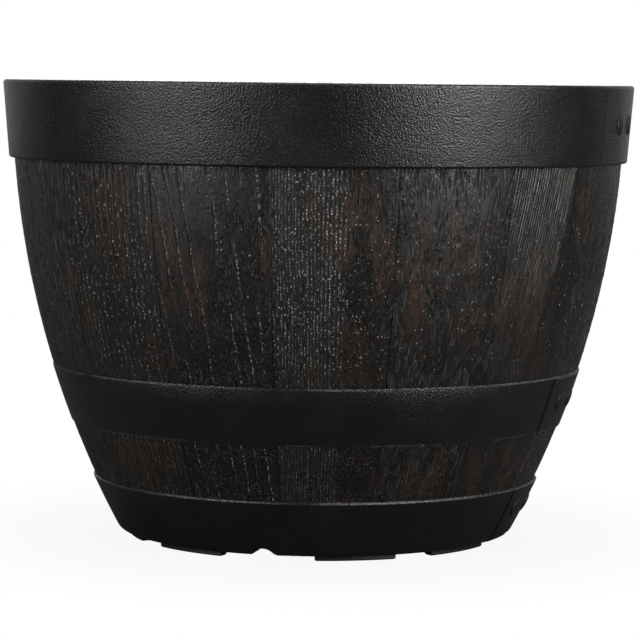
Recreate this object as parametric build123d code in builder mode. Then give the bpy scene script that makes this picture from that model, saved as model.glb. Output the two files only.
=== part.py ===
"""Barrel planter: a bellied wall of moulded staves, three riveted hoops, feet and drain plugs.

All sizes are in millimetres. Z points up, the feet rest on Z = 0 and the origin lies on the barrel's
axis. An azimuth is counted in degrees from the front, which faces -Y, and grows towards +X.
"""

import os
from math import asin, atan2, cos, degrees, radians, sin, sqrt, tan

from build123d import *

# Whole planter
TOTAL_HEIGHT = 281.0
RIM_RADIUS = 195.0  # outer, at the top
FULL_TURN = 360.0

# Bellied wall: one arc, turned about the axis
RIM_OVERHANG = 5.7  # from the wall's widest place out to the top of the rim hoop
BELLY_DROP = 4.8  # from the rim's top down to the widest place
BELLY_CURVE = 571.7  # radius of the arc
WALL = 4.0
FLOOR = 4.0
FLOOR_CLEARANCE = 12.0  # from the ground up to the floor's underside
FLOOR_CORNER = 9.0  # radius between floor and wall, inside

# Staves
STAVE_COUNT = 16
STAVE_JOINT_AZIMUTH = 14.2
STAVE_JOINT_DEPTH = 0.9
STAVE_JOINT_WIDTH = 2.2

# Foot ring
BASE_LIFT = 3.2  # from the ground up to the ring's lower edge
BASE_CORNER = 6.0  # radius of the base hoop's lower corner
RING_WIDTH = 9.5
RING_DRAFT = 2.0  # the ring's inner wall leans in by this much, from its lower edge to the floor
FOOT_PAIRS = 4
FOOT_ARC = 24.5  # degrees that one foot covers
FOOT_SPREAD = 37.0  # degrees between the centres of a pair's two feet
FOOT_WIDTH = 6.5
FOOT_SETBACK = 0.5  # from the edge of the ring's flat underside
FOOT_BEVEL = 0.8

# Water notches, midway between the pairs of feet
NOTCH_AZIMUTH = -14.0
NOTCH_WIDTH = 21.0
NOTCH_HEIGHT = 4.9
NOTCH_CROWN = 7.5  # radius of the notch's top
NOTCH_SINK = 0.3  # the flared ends start below the ring's edge, so that they cross it at an angle

# Underside
RIB_COUNT = 8
RIB_WIDTH = 2.4
RIB_HEIGHT = 5.0
RIB_RING_RADIUS = 34.0
GATE_RADIUS = 7.0
GATE_DEPTH = 0.8

# Drain holes and their plugs
DRAIN_COUNT = 4
DRAIN_CIRCLE = 74.0  # radius of the circle that the holes lie on
DRAIN_RADIUS = 7.0
DRAIN_BEVEL = 0.6
PLUG_GAP = 0.1
PLUG_FLANGE_RADIUS = 11.0
PLUG_FLANGE = 2.2
PLUG_REACH = 3.5  # how far the shank shows below the floor
PLUG_WALL = 1.8
PLUG_TAPER = 0.5
PLUG_CAP = 1.6  # rubber left over the hollow shank
PLUG_TAB_LENGTH = 10.0
PLUG_TAB_WIDTH = 2.4
PLUG_TAB_HEIGHT = 6.0

# Hoops
FIT = 0.05  # between a hoop and what it is seated on
SEAT_DEPTH = 1.2  # how deep the wall is recessed under the middle and base hoops
MIDDLE_HOOP_LOW = 72.0
MIDDLE_HOOP_HEIGHT = 35.0
MIDDLE_HOOP_PROUD = 0.7
MIDDLE_HOOP_LEAD = 2.0  # height of the bevel along the upper edge
BASE_HOOP_TOP = 38.0
BASE_HOOP_PROUD = 1.6
BASE_HOOP_ROUND = 1.4  # radius of the upper edge
RIM_HOOP_HEIGHT = 47.4
RIM_TAPER = 3.8  # how much narrower the rim hoop is at its lower edge
RIM_SKIRT = 2.6
RIM_WEB = 3.0  # thickness of the flat top
RIM_LIP = 2.4
RIM_LIP_LENGTH = 12.0
RIM_LAND = 5.0  # height of the band that closes the skirt onto the wall
RIM_ROUND = 2.0
RIM_FOOT_ROUND = 1.4

# Lapped ends of the hoops
LAP_AZIMUTH = 73.0  # the middle of the lap
LAP_ARC = 24.0
LAP_RISE = 0.8
RIM_LAP_MARGIN = 2.5  # from the rim hoop's edges to its lap, which stays off the rounded corners

# Rivets
RIVETS_PER_LAP = 2
RIVET_SPACING = 25.0
RIVET_HEAD_RADIUS = 6.0
RIVET_HEAD_EDGE = 0.3
RIVET_DOME = 0.9
RIVET_SHANK_RADIUS = 2.6
RIVET_SEAT = 0.3  # depth of the flat that the head sits in
RIVET_TAIL_GAP = 0.2  # from the shank's end to the hoop's inner face
HOLE_GAP = 0.1

# Worked out from the sizes above
WALL_RADIUS = RIM_RADIUS - RIM_OVERHANG
RIM_FOOT_RADIUS = RIM_RADIUS - RIM_TAPER
BELLY_HEIGHT = TOTAL_HEIGHT - BELLY_DROP
BELLY_CENTRE = WALL_RADIUS - BELLY_CURVE
WALL_TOP = TOTAL_HEIGHT - RIM_WEB
FLOOR_TOP = FLOOR_CLEARANCE + FLOOR
MIDDLE_HOOP_TOP = MIDDLE_HOOP_LOW + MIDDLE_HOOP_HEIGHT
RIM_LOW = TOTAL_HEIGHT - RIM_HOOP_HEIGHT
LAP_START = LAP_AZIMUTH - LAP_ARC / 2
HOOP_INSET = SEAT_DEPTH - FIT


def belly(height, inset=0.0):
    """Radius at a height, on the surface that lies inset inside the wall's outer face."""
    return BELLY_CENTRE + sqrt((BELLY_CURVE - inset) ** 2 - (height - BELLY_HEIGHT) ** 2)


def belly_arc(low, high, inset=0.0):
    """The wall's curve between two heights, drawn into the open line."""
    heights = (low, (low + high) / 2, high)
    return ThreePointArc(*[(belly(height, inset), height) for height in heights])


def belly_tilt(height):
    """Degrees by which the wall faces down at a height."""
    return degrees(asin((BELLY_HEIGHT - height) / BELLY_CURVE))


def radial_plane(azimuth):
    """The upright plane through the axis, with its X outwards and its Y up."""
    turn = radians(azimuth)
    return Plane(origin=(0, 0, 0), x_dir=(sin(turn), -cos(turn), 0), z_dir=(-cos(turn), -sin(turn), 0))


def surface_plane(azimuth, radius, height, tilt):
    """The plane that touches the planter's side at a point, facing out and down by tilt degrees."""
    turn, lean = radians(azimuth), radians(tilt)
    across = (cos(turn), sin(turn), 0)
    out = (sin(turn) * cos(lean), -cos(turn) * cos(lean), -sin(lean))
    return Plane(origin=(radius * sin(turn), -radius * cos(turn), height), x_dir=across, z_dir=out)


def compass(azimuth):
    """An azimuth from the front as an angle about +Z from +X."""
    return azimuth - 90.0


def corner_at(sketch, radius, height):
    """The corner of a section that lies nearest a point."""
    return sketch.vertices().sort_by_distance((radius, height, 0))[0]


def base_section(inset, top):
    """The area inside the belly's curve from the ring's lower edge up, with its rounded corner."""
    with BuildSketch() as section:
        with BuildLine():
            side = belly_arc(BASE_LIFT, top, inset)
            Polyline(side @ 1, (0, top), (0, BASE_LIFT), side @ 0)
        make_face()
        rounding = BASE_CORNER - BASE_HOOP_PROUD - inset
        fillet(corner_at(section, belly(BASE_LIFT, inset), BASE_LIFT), radius=rounding)
    return section.sketch


def annular_sector(inner, outer, azimuth, arc):
    """A flat piece of a ring, centred on an azimuth."""
    start = compass(azimuth) - arc / 2
    with BuildSketch() as sector:
        with BuildLine():
            far = CenterArc((0, 0), outer, start, arc)
            near = CenterArc((0, 0), inner, start, arc)
            Line(near @ 0, far @ 0)
            Line(near @ 1, far @ 1)
        make_face()
    return sector.sketch


# Water notch: a half-round crown whose ends flare out tangentially, cut outwards from the axis
notch_span = ((NOTCH_WIDTH / 2) ** 2 + NOTCH_HEIGHT**2) / (2 * NOTCH_HEIGHT)
notch_flare = notch_span - NOTCH_CROWN
notch_turn = degrees(asin(NOTCH_WIDTH / 2 / notch_span))
notch_base = BASE_LIFT - NOTCH_SINK
notch_crown_centre = notch_base + NOTCH_HEIGHT - NOTCH_CROWN
with BuildPart() as notch_cutter:
    with BuildSketch(surface_plane(NOTCH_AZIMUTH, 0, 0, 0)):
        with BuildLine():
            crown = CenterArc((0, notch_crown_centre), NOTCH_CROWN, 90 - notch_turn, 2 * notch_turn)
            right = CenterArc(
                (NOTCH_WIDTH / 2, notch_base + notch_flare), notch_flare, 270 - notch_turn, notch_turn
            )
            left = CenterArc((-NOTCH_WIDTH / 2, notch_base + notch_flare), notch_flare, 270, notch_turn)
            Polyline(right @ 1, (NOTCH_WIDTH / 2, 0), (-NOTCH_WIDTH / 2, 0), left @ 0)
        make_face()
    extrude(amount=RIM_RADIUS)

# Stave joint: a V groove turned about the centre of the belly's curve, from the widest place down
with BuildPart() as joint_cutter:
    with BuildSketch(Plane.XY.offset(BELLY_HEIGHT)):
        slope = STAVE_JOINT_WIDTH / 2 / STAVE_JOINT_DEPTH
        with BuildLine():
            reach = 2 * STAVE_JOINT_DEPTH
            Polyline(
                (WALL_RADIUS - STAVE_JOINT_DEPTH, 0),
                (WALL_RADIUS - STAVE_JOINT_DEPTH + reach, slope * reach),
                (WALL_RADIUS - STAVE_JOINT_DEPTH + reach, -slope * reach),
                close=True,
            )
        make_face()
    revolve(
        axis=Axis((BELLY_CENTRE, 0, BELLY_HEIGHT), (0, 1, 0)),
        revolution_arc=belly_tilt(BASE_LIFT),
    )

# Barrel shell: wall, floor and foot ring
ring_outer = belly(BASE_LIFT, SEAT_DEPTH)
ring_inner = ring_outer - RING_WIDTH
ring_corner = BASE_CORNER - BASE_HOOP_PROUD - SEAT_DEPTH
ring_flat = ring_outer - ring_corner * tan(radians(90 - belly_tilt(BASE_LIFT)) / 2)
with BuildPart() as barrel_shell:
    with BuildSketch(Plane.XZ) as wall_section:
        add(base_section(SEAT_DEPTH, BASE_HOOP_TOP))
        with BuildLine():
            lower = belly_arc(BASE_HOOP_TOP, MIDDLE_HOOP_LOW)
            seat = belly_arc(MIDDLE_HOOP_LOW, MIDDLE_HOOP_TOP, SEAT_DEPTH)
            upper = belly_arc(MIDDLE_HOOP_TOP, WALL_TOP)
            Line(lower @ 1, seat @ 0)
            Line(seat @ 1, upper @ 0)
            Polyline(upper @ 1, (0, WALL_TOP), (0, BASE_HOOP_TOP), lower @ 0)
        make_face()
        with BuildSketch(mode=Mode.SUBTRACT) as hollow:
            with BuildLine():
                inside = belly_arc(FLOOR_TOP, WALL_TOP, WALL)
                Polyline(inside @ 1, (0, WALL_TOP), (0, FLOOR_TOP), inside @ 0)
            make_face()
            fillet(corner_at(hollow, belly(FLOOR_TOP, WALL), FLOOR_TOP), radius=FLOOR_CORNER)
        with BuildLine():
            Polyline(
                (0, BASE_LIFT),
                (ring_inner, BASE_LIFT),
                (ring_inner - RING_DRAFT, FLOOR_CLEARANCE),
                (0, FLOOR_CLEARANCE),
                close=True,
            )
        make_face(mode=Mode.SUBTRACT)
    revolve(axis=Axis.Z)

    with PolarLocations(0, STAVE_COUNT, start_angle=compass(STAVE_JOINT_AZIMUTH)):
        add(joint_cutter.part, mode=Mode.SUBTRACT)

    # Feet, in pairs either side of the bisector between two notches
    foot_outer = ring_flat - FOOT_SETBACK
    pair_turn = FULL_TURN / FOOT_PAIRS
    for pair in range(FOOT_PAIRS):
        middle = NOTCH_AZIMUTH + (pair + 0.5) * pair_turn
        for azimuth in (middle - FOOT_SPREAD / 2, middle + FOOT_SPREAD / 2):
            with BuildSketch(Plane.XY):
                add(annular_sector(foot_outer - FOOT_WIDTH, foot_outer, azimuth, FOOT_ARC))
            extrude(amount=BASE_LIFT)
    foot_edges = barrel_shell.edges().group_by(Axis.Z)[0]
    chamfer(foot_edges, length=FOOT_BEVEL)

    # Ribs under the floor: spokes from an inner ring to the foot ring
    with BuildSketch(Plane.XY.offset(FLOOR_CLEARANCE)):
        Circle(RIB_RING_RADIUS + RIB_WIDTH / 2)
        Circle(RIB_RING_RADIUS - RIB_WIDTH / 2, mode=Mode.SUBTRACT)
        rib_start = compass(NOTCH_AZIMUTH) + FULL_TURN / RIB_COUNT / 2
        rib_length = ring_inner - RIB_RING_RADIUS
        with PolarLocations(RIB_RING_RADIUS + rib_length / 2, RIB_COUNT, start_angle=rib_start):
            Rectangle(rib_length, RIB_WIDTH)
    extrude(amount=-RIB_HEIGHT)

    with BuildSketch(Plane.XY.offset(FLOOR_CLEARANCE)):
        Circle(GATE_RADIUS)
    extrude(amount=GATE_DEPTH, mode=Mode.SUBTRACT)

    # Drain holes, in line with the notches
    with Locations(Plane.XY.offset(FLOOR_TOP)):
        with PolarLocations(DRAIN_CIRCLE, DRAIN_COUNT, start_angle=compass(NOTCH_AZIMUTH)):
            CounterSinkHole(radius=DRAIN_RADIUS, counter_sink_radius=DRAIN_RADIUS + DRAIN_BEVEL)

    with PolarLocations(0, FOOT_PAIRS):
        add(notch_cutter.part, mode=Mode.SUBTRACT)


def rivet_planes(radius, height, tilt):
    """The planes of a lap's rivets, side by side on the lap's outer face."""
    step = degrees(RIVET_SPACING / radius)
    first = LAP_AZIMUTH - step * (RIVETS_PER_LAP - 1) / 2
    return [surface_plane(first + step * n, radius, height, tilt) for n in range(RIVETS_PER_LAP)]


def make_rivets(planes, hoop_thickness):
    """Domed rivets that are seated in a lap, with their shanks through the hoop."""
    seat, shank_end = -RIVET_SEAT, RIVET_TAIL_GAP - hoop_thickness
    with BuildPart() as rivets:
        for plane in planes:
            with BuildSketch(Plane(origin=plane.origin, x_dir=plane.x_dir, z_dir=plane.y_dir * -1)):
                with BuildLine():
                    Polyline(
                        (0, shank_end),
                        (RIVET_SHANK_RADIUS, shank_end),
                        (RIVET_SHANK_RADIUS, seat),
                        (RIVET_HEAD_RADIUS, seat),
                        (RIVET_HEAD_RADIUS, RIVET_HEAD_EDGE),
                    )
                    dome = RadiusArc(
                        (RIVET_HEAD_RADIUS, RIVET_HEAD_EDGE),
                        (0, RIVET_HEAD_EDGE + RIVET_DOME),
                        -(RIVET_HEAD_RADIUS**2 + RIVET_DOME**2) / (2 * RIVET_DOME),
                    )
                    Line(dome @ 1, (0, shank_end))
                make_face()
            revolve(axis=Axis(plane.origin, plane.z_dir))
    return rivets.part


def bore_for_rivets(planes):
    """Holes with flat seats for a lap's rivets, cut into the open part."""
    with Locations(*planes):
        CounterBoreHole(
            radius=RIVET_SHANK_RADIUS + HOLE_GAP,
            counter_bore_radius=RIVET_HEAD_RADIUS + HOLE_GAP,
            counter_bore_depth=RIVET_SEAT,
            depth=2 * RIVET_HEAD_RADIUS,
        )


# Middle hoop: seated in the wall's upper recess
middle_mid = MIDDLE_HOOP_LOW + MIDDLE_HOOP_HEIGHT / 2
middle_lap_proud = MIDDLE_HOOP_PROUD + LAP_RISE
middle_rivet_planes = rivet_planes(belly(middle_mid, -middle_lap_proud), middle_mid, belly_tilt(middle_mid))


def middle_hoop_section(proud):
    """Section of the middle hoop, standing proud of the wall, with its bevelled upper edge."""
    with BuildSketch() as section:
        with BuildLine():
            back = belly_arc(MIDDLE_HOOP_LOW, MIDDLE_HOOP_TOP, HOOP_INSET)
            face = belly_arc(MIDDLE_HOOP_LOW, MIDDLE_HOOP_TOP - MIDDLE_HOOP_LEAD, -proud)
            Line(back @ 0, face @ 0)
            Polyline(face @ 1, (belly(MIDDLE_HOOP_TOP), MIDDLE_HOOP_TOP), back @ 1)
        make_face()
    return section.sketch


with BuildPart() as middle_hoop:
    with BuildSketch(radial_plane(LAP_START)):
        add(middle_hoop_section(MIDDLE_HOOP_PROUD))
    revolve(axis=Axis.Z)
    with BuildSketch(radial_plane(LAP_START)):
        add(middle_hoop_section(middle_lap_proud))
    revolve(axis=Axis.Z, revolution_arc=LAP_ARC)
    bore_for_rivets(middle_rivet_planes)

# Base hoop: wraps the wall's lower corner and is notched with the ring
base_mid = (BASE_LIFT + BASE_CORNER + BASE_HOOP_TOP) / 2
base_lap_proud = BASE_HOOP_PROUD + LAP_RISE
base_rivet_planes = rivet_planes(belly(base_mid, -base_lap_proud), base_mid, belly_tilt(base_mid))


def base_hoop_section(proud):
    """Section of the base hoop, between its seat and a face that stands proud of the wall."""
    with BuildSketch() as section:
        add(base_section(-proud, BASE_HOOP_TOP))
        add(base_section(HOOP_INSET, BASE_HOOP_TOP), mode=Mode.SUBTRACT)
        fillet(corner_at(section, belly(BASE_HOOP_TOP, -proud), BASE_HOOP_TOP), radius=BASE_HOOP_ROUND)
    return section.sketch


with BuildPart() as base_hoop:
    with BuildSketch(radial_plane(LAP_START)):
        add(base_hoop_section(BASE_HOOP_PROUD))
    revolve(axis=Axis.Z)
    with BuildSketch(radial_plane(LAP_START)):
        add(base_hoop_section(base_lap_proud))
    revolve(axis=Axis.Z, revolution_arc=LAP_ARC)
    bore_for_rivets(base_rivet_planes)
    with PolarLocations(0, FOOT_PAIRS):
        add(notch_cutter.part, mode=Mode.SUBTRACT)

# Rim hoop: an inverted channel that hangs on the wall's top edge
rim_tilt = degrees(atan2(RIM_TAPER, RIM_HOOP_HEIGHT))
rim_mid = TOTAL_HEIGHT - RIM_HOOP_HEIGHT / 2
lip_low = TOTAL_HEIGHT - RIM_LIP_LENGTH
lip_face = min(belly(lip_low, WALL), belly(WALL_TOP, WALL)) - FIT
land_top = RIM_LOW + RIM_LAND


def rim_face(height, proud=0.0):
    """Radius of the rim hoop's outer face at a height."""
    return RIM_FOOT_RADIUS + RIM_TAPER * (height - RIM_LOW) / RIM_HOOP_HEIGHT + proud


rim_rivet_planes = rivet_planes(rim_face(rim_mid, LAP_RISE), rim_mid, rim_tilt)
with BuildPart() as rim_hoop:
    with BuildSketch(radial_plane(LAP_START)) as rim_section:
        with BuildLine():
            land = belly_arc(RIM_LOW, land_top, -FIT)
            Polyline(
                land @ 1,
                (rim_face(land_top) - RIM_SKIRT, land_top + RIM_LAND / 2),
                (rim_face(WALL_TOP) - RIM_SKIRT, WALL_TOP),
                (lip_face, WALL_TOP),
                (lip_face, lip_low),
                (lip_face - RIM_LIP, lip_low),
                (lip_face - RIM_LIP, TOTAL_HEIGHT),
                (RIM_RADIUS, TOTAL_HEIGHT),
                (RIM_FOOT_RADIUS, RIM_LOW),
                land @ 0,
            )
        make_face()
        fillet(corner_at(rim_section, RIM_RADIUS, TOTAL_HEIGHT), radius=RIM_ROUND)
        fillet(corner_at(rim_section, RIM_FOOT_RADIUS, RIM_LOW), radius=RIM_FOOT_ROUND)
        fillet(corner_at(rim_section, lip_face - RIM_LIP, TOTAL_HEIGHT), radius=RIM_ROUND)
    revolve(axis=Axis.Z)
    lap_low, lap_high = RIM_LOW + RIM_LAP_MARGIN, TOTAL_HEIGHT - RIM_LAP_MARGIN
    with BuildSketch(radial_plane(LAP_START)):
        with BuildLine():
            Polyline(
                (rim_face(lap_low, -RIM_SKIRT / 2), lap_low),
                (rim_face(lap_low, LAP_RISE), lap_low),
                (rim_face(lap_high, LAP_RISE), lap_high),
                (rim_face(lap_high, -RIM_SKIRT / 2), lap_high),
                close=True,
            )
        make_face()
    revolve(axis=Axis.Z, revolution_arc=LAP_ARC)
    bore_for_rivets(rim_rivet_planes)

# Drain plug: a hollow tapered shank under a flange, with a tab to pull it out by
shank_top_radius = DRAIN_RADIUS - PLUG_GAP
shank_low = FLOOR_CLEARANCE - PLUG_REACH
flange_top = FLOOR_TOP + PLUG_FLANGE
with BuildPart() as drain_plug:
    with BuildSketch(Plane.XZ):
        with BuildLine():
            Polyline(
                (0, FLOOR_TOP - PLUG_CAP),
                (shank_top_radius - PLUG_WALL, FLOOR_TOP - PLUG_CAP),
                (shank_top_radius - PLUG_TAPER - PLUG_WALL, shank_low),
                (shank_top_radius - PLUG_TAPER, shank_low),
                (shank_top_radius, FLOOR_TOP),
                (PLUG_FLANGE_RADIUS, FLOOR_TOP),
                (PLUG_FLANGE_RADIUS - PLUG_FLANGE / 2, flange_top),
                (0, flange_top),
                close=True,
            )
        make_face()
    revolve(axis=Axis.Z)
    with BuildSketch(Plane.XZ.offset(-PLUG_TAB_WIDTH / 2)):
        with Locations((0, flange_top)):
            SlotOverall(2 * PLUG_TAB_HEIGHT, PLUG_TAB_LENGTH, rotation=90)
            Rectangle(
                PLUG_TAB_LENGTH,
                2 * PLUG_TAB_HEIGHT,
                align=(Align.CENTER, Align.MAX),
                mode=Mode.SUBTRACT,
            )
    extrude(amount=PLUG_TAB_WIDTH)

pieces = {
    "barrel_shell": barrel_shell.part,
    "rim_hoop": rim_hoop.part,
    "middle_hoop": middle_hoop.part,
    "base_hoop": base_hoop.part,
    "rim_hoop_rivets": make_rivets(rim_rivet_planes, RIM_SKIRT + LAP_RISE),
    "middle_hoop_rivets": make_rivets(middle_rivet_planes, HOOP_INSET + middle_lap_proud),
    "base_hoop_rivets": make_rivets(base_rivet_planes, HOOP_INSET + base_lap_proud),
}
drain_places = PolarLocations(DRAIN_CIRCLE, DRAIN_COUNT, start_angle=compass(NOTCH_AZIMUTH))
for number, place in enumerate(drain_places, start=1):
    pieces[f"drain_plug_{number}"] = drain_plug.part.moved(place)

os.makedirs("parts", exist_ok=True)
for name, piece in pieces.items():
    piece.label = name
    export_step(piece, f"parts/{name}.step")
    print(name, len(piece.solids()), round(piece.volume))
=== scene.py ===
"""Barrel planter: grained staves, pebbled hoops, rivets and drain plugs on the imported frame.

Everything is in metres. Z points up and the barrel's axis is the Z axis. An azimuth is counted from
the front, which faces -Y, and grows towards +X.
"""

import logging
from dataclasses import dataclass, fields
from enum import Enum
from functools import reduce
from math import asin, cos, pi, radians, sin, sqrt
from typing import Mapping, Optional, Sequence, Union

import bmesh
import bpy
from bpy.types import Material, Mesh, Node, NodeSocket, NodeTree, Object
from mathutils import Matrix, Vector


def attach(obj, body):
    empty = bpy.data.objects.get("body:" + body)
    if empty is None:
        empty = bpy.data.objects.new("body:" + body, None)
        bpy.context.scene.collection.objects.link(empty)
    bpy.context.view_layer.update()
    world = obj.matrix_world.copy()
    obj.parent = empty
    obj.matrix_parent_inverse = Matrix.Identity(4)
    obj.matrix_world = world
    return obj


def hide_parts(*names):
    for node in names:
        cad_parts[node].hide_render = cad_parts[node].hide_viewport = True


log = logging.getLogger("barrel_planter")

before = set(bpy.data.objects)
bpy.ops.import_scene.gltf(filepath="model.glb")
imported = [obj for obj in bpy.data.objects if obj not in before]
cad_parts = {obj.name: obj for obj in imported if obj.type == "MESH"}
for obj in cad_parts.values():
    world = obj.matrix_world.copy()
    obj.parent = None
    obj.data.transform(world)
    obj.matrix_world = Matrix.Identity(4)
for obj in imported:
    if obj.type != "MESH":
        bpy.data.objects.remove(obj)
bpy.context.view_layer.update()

Colour = tuple[float, float, float]
Value = Union["Wire", float]
Settings = Mapping[str, object]
Inputs = Mapping[Union[str, int], object]
MM = 0.001
PLANTER = "planter"
SAME_PLACE = 0.002 * MM  # points of a solid's mesh that lie nearer than this are one point


@dataclass
class Wire:
    """A node's output, on which Python's operators add Math nodes to its graph."""

    graph: "Graph"
    socket: NodeSocket

    def __add__(self, other: Value) -> "Wire":
        """Return self + other."""
        return self.graph.math("ADD", self, other)

    def __sub__(self, other: Value) -> "Wire":
        """Return self - other."""
        return self.graph.math("SUBTRACT", self, other)

    def __rsub__(self, other: Value) -> "Wire":
        """Return other - self."""
        return self.graph.math("SUBTRACT", other, self)

    def __mul__(self, other: Value) -> "Wire":
        """Return self * other."""
        return self.graph.math("MULTIPLY", self, other)

    def __truediv__(self, other: Value) -> "Wire":
        """Return self / other."""
        return self.graph.math("DIVIDE", self, other)

    def __rtruediv__(self, other: Value) -> "Wire":
        """Return other / self."""
        return self.graph.math("DIVIDE", other, self)

    def __abs__(self) -> "Wire":
        """Return the absolute value."""
        return self.graph.math("ABSOLUTE", self)

    __radd__ = __add__
    __rmul__ = __mul__


class Graph:
    """A node tree that is written as expressions."""

    def __init__(self, tree: NodeTree) -> None:
        """Start on a tree whose nodes are cleared."""
        self.tree = tree
        tree.nodes.clear()

    def node(self, kind: str, settings: Optional[Settings] = None, inputs: Optional[Inputs] = None) -> Node:
        """Add a node.

        Args:
            kind: The node's type.
            settings: Its properties, set first.
            inputs: A value or a Wire for each input, by the input's name or number.

        Returns:
            The new node.
        """
        made = self.tree.nodes.new(kind)
        for name, value in (settings or {}).items():
            setattr(made, name, value)
        self.fill(made, inputs or {})
        return made

    def fill(self, node: Node, inputs: Inputs) -> None:
        """Set or link a node's inputs.

        Args:
            node: The node.
            inputs: A value or a Wire for each input.
        """
        for key, value in inputs.items():
            if isinstance(value, Wire):
                self.tree.links.new(value.socket, node.inputs[key])
            else:
                node.inputs[key].default_value = value

    def wire(self, node: Node, output: Union[str, int] = 0) -> Wire:
        """Return one of a node's outputs as a Wire."""
        return Wire(self, node.outputs[output])

    def math(self, operation: str, *values: Value) -> Wire:
        """Add a Math node on one to three values and return its result."""
        return self.wire(self.node("ShaderNodeMath", {"operation": operation}, dict(enumerate(values))))

    def largest(self, *values: Value) -> Wire:
        """Return the largest of two or more values."""
        return reduce(lambda one, other: self.math("MAXIMUM", one, other), values)

    def smooth(self, value: Value, low: Value, high: Value) -> Wire:
        """Rise smoothly from 0 at low to 1 at high. A fall has low above high."""
        inputs = {"Value": value, "From Min": low, "From Max": high}
        return self.wire(self.node("ShaderNodeMapRange", {"interpolation_type": "SMOOTHSTEP"}, inputs))

    def ramp_between(self, value: Value, low: float, high: float) -> Wire:
        """Return low where the value is 0, high where it is 1, and what lies between."""
        return low + self.math("MULTIPLY", value, high - low)

    def vector(self, x: Value, y: Value, z: Value) -> Wire:
        """Join three values into a vector."""
        return self.wire(self.node("ShaderNodeCombineXYZ", inputs={0: x, 1: y, 2: z}))

    def parts(self, vector: Wire) -> tuple[Wire, Wire, Wire]:
        """Split a vector into its three values."""
        made = self.node("ShaderNodeSeparateXYZ", inputs={0: vector})
        return self.wire(made, 0), self.wire(made, 1), self.wire(made, 2)

    def noise(self, place: Wire, waves: float = 1.0, detail: float = 1.0, rough: float = 0.5) -> Wire:
        """Read soft noise around 0.5, with so many waves in a unit and so many finer layers."""
        inputs = {"Vector": place, "Scale": waves, "Detail": detail, "Roughness": rough}
        return self.wire(self.node("ShaderNodeTexNoise", {"noise_dimensions": "3D"}, inputs))

    def chances(self, place: Wire) -> tuple[Wire, Wire, Wire]:
        """Return three random numbers from 0 to 1 that belong to a place."""
        made = self.node("ShaderNodeTexWhiteNoise", {"noise_dimensions": "3D"}, {"Vector": place})
        return self.parts(self.wire(made, "Color"))

    def blend(self, factor: Value, a: object, b: object) -> Wire:
        """Mix two colours.

        Args:
            factor: 0 for the first colour, 1 for the second.
            a: The first colour.
            b: The second colour.

        Returns:
            The mixed colour.
        """
        colours = [c if isinstance(c, Wire) else (*c, 1.0) for c in (a, b)]
        made = self.node(
            "ShaderNodeMix",
            {"data_type": "RGBA", "clamp_factor": True},
            {0: factor, 6: colours[0], 7: colours[1]},
        )
        return self.wire(made, 2)


class FinishGraph(Graph):
    """A material's graph, with its surface shader."""

    def __init__(self, name: str) -> None:
        """Make the material and its output."""
        self.material = bpy.data.materials.new(name)
        self.material.use_nodes = True
        super().__init__(self.material.node_tree)
        self.shader = self.node("ShaderNodeBsdfPrincipled")
        self.node("ShaderNodeOutputMaterial", inputs={"Surface": self.wire(self.shader)})

    def place(self) -> Wire:
        """Return the place in the object's own coordinates."""
        return self.wire(self.node("ShaderNodeTexCoord"), "Object")

    def stretched(self, along: float, across: float) -> Wire:
        """Return the place with its height divided by one size and its width by another."""
        inputs = {0: self.place(), 1: (1 / across, 1 / across, 1 / along)}
        return self.wire(self.node("ShaderNodeVectorMath", {"operation": "MULTIPLY"}, inputs))

    def attribute(self, name: str) -> Wire:
        """Return a number that the mesh carries."""
        return self.wire(self.node("ShaderNodeAttribute", {"attribute_name": name}), "Fac")

    def relief(self, height: Wire, distance: float) -> None:
        """Bump the surface by a height from 0 to 1, where 1 is the distance in metres."""
        inputs = {"Strength": 1.0, "Distance": distance, "Height": height}
        self.feed({"Normal": self.wire(self.node("ShaderNodeBump", inputs=inputs))})

    def feed(self, inputs: Inputs) -> None:
        """Set or link inputs of the surface shader."""
        self.fill(self.shader, inputs)


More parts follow.
